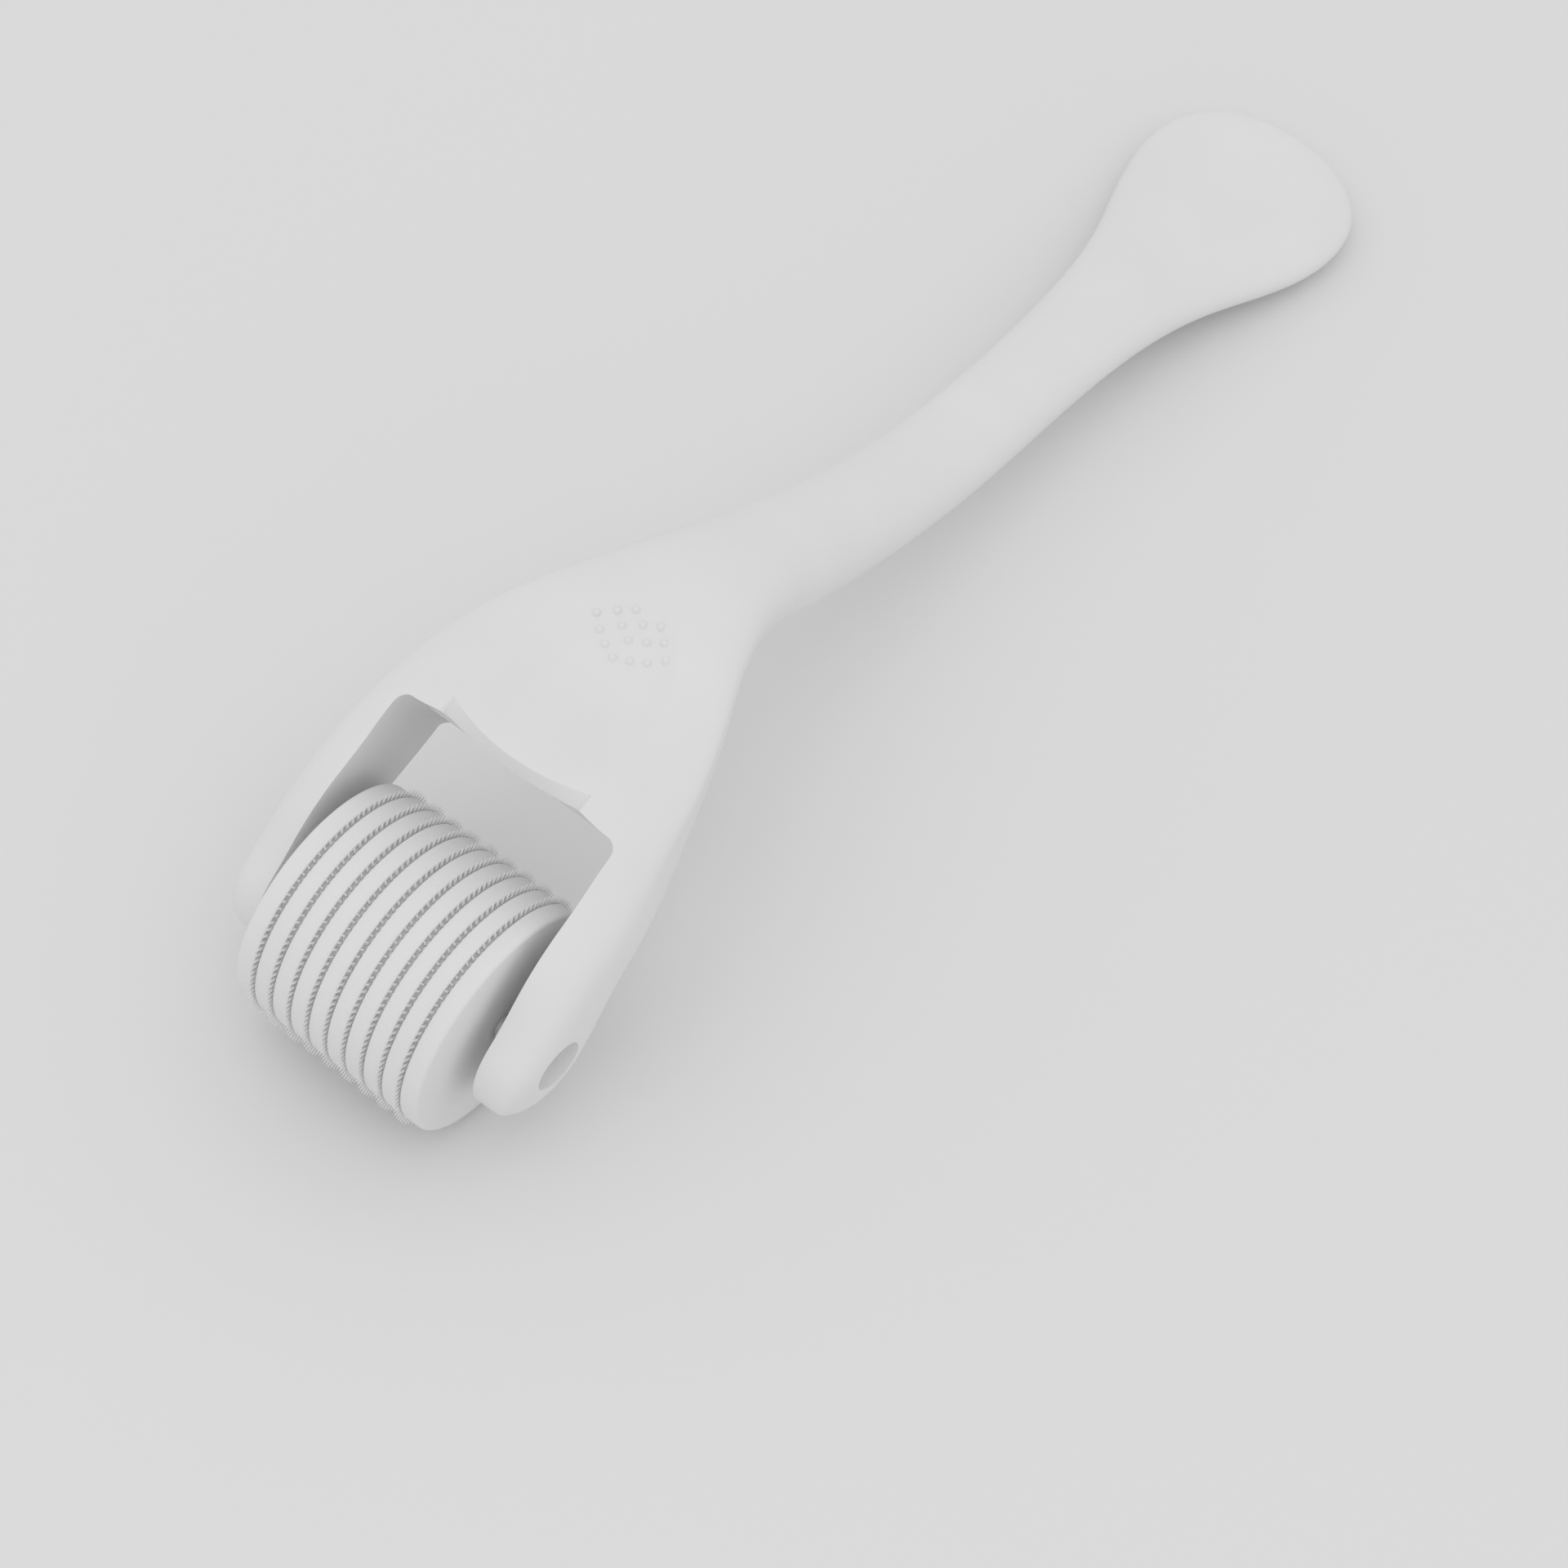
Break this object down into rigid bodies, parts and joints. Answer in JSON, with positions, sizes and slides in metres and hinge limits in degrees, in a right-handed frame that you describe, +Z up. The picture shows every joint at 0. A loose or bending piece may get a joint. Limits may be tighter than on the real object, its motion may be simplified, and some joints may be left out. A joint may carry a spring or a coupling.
{
  "type": "derma roller",
  "caption": "Hand-held skin roller: curved Y-shaped handle with a sunken dotted thumb rest and a fork that holds a free-spinning drum of fine needle discs.",
  "frame": {"origin": "on the table, under the middle of the whole roller's bounding box, with the roller lying on its needles and its tail", "axes": "+X along the drum's axis, +Y from the drum towards the tail, +Z up"},
  "size_m": [0.0327, 0.1491, 0.0307],
  "materials": {
    "handle_plastic": "fine satin moulded plastic, pale grey-white",
    "drum_plastic": "smooth satin plastic, pale grey-white",
    "bush_plastic": "plain moulded acetal, pale grey",
    "needle_steel": "etched, satin steel",
    "pin_steel": "ground steel"
  },
  "bodies": {
    "handle": {"handle_upper_shell": "handle_plastic", "handle_lower_shell": "handle_plastic", "axle_bush_left": "bush_plastic", "axle_bush_right": "bush_plastic"},
    "roller": {"drum_core": "drum_plastic", "end_cap_left": "drum_plastic", "end_cap_right": "drum_plastic", "axle_pin": "pin_steel", "needle_disc_1": "needle_steel", "needle_disc_2": "needle_steel", "needle_disc_3": "needle_steel", "needle_disc_4": "needle_steel", "needle_disc_5": "needle_steel", "needle_disc_6": "needle_steel", "needle_disc_7": "needle_steel", "needle_disc_8": "needle_steel", "needle_disc_9": "needle_steel", "spacer_ring_1": "drum_plastic", "spacer_ring_2": "drum_plastic", "spacer_ring_3": "drum_plastic", "spacer_ring_4": "drum_plastic", "spacer_ring_5": "drum_plastic", "spacer_ring_6": "drum_plastic", "spacer_ring_7": "drum_plastic", "spacer_ring_8": "drum_plastic"}
  },
  "joints": [
    {"name": "roller_spin", "type": "hinge", "parent": "handle", "child": "roller", "pos_m": [0, -0.06288, 0.01165], "axis": [1, 0, 0], "continuous": true}
  ]
}
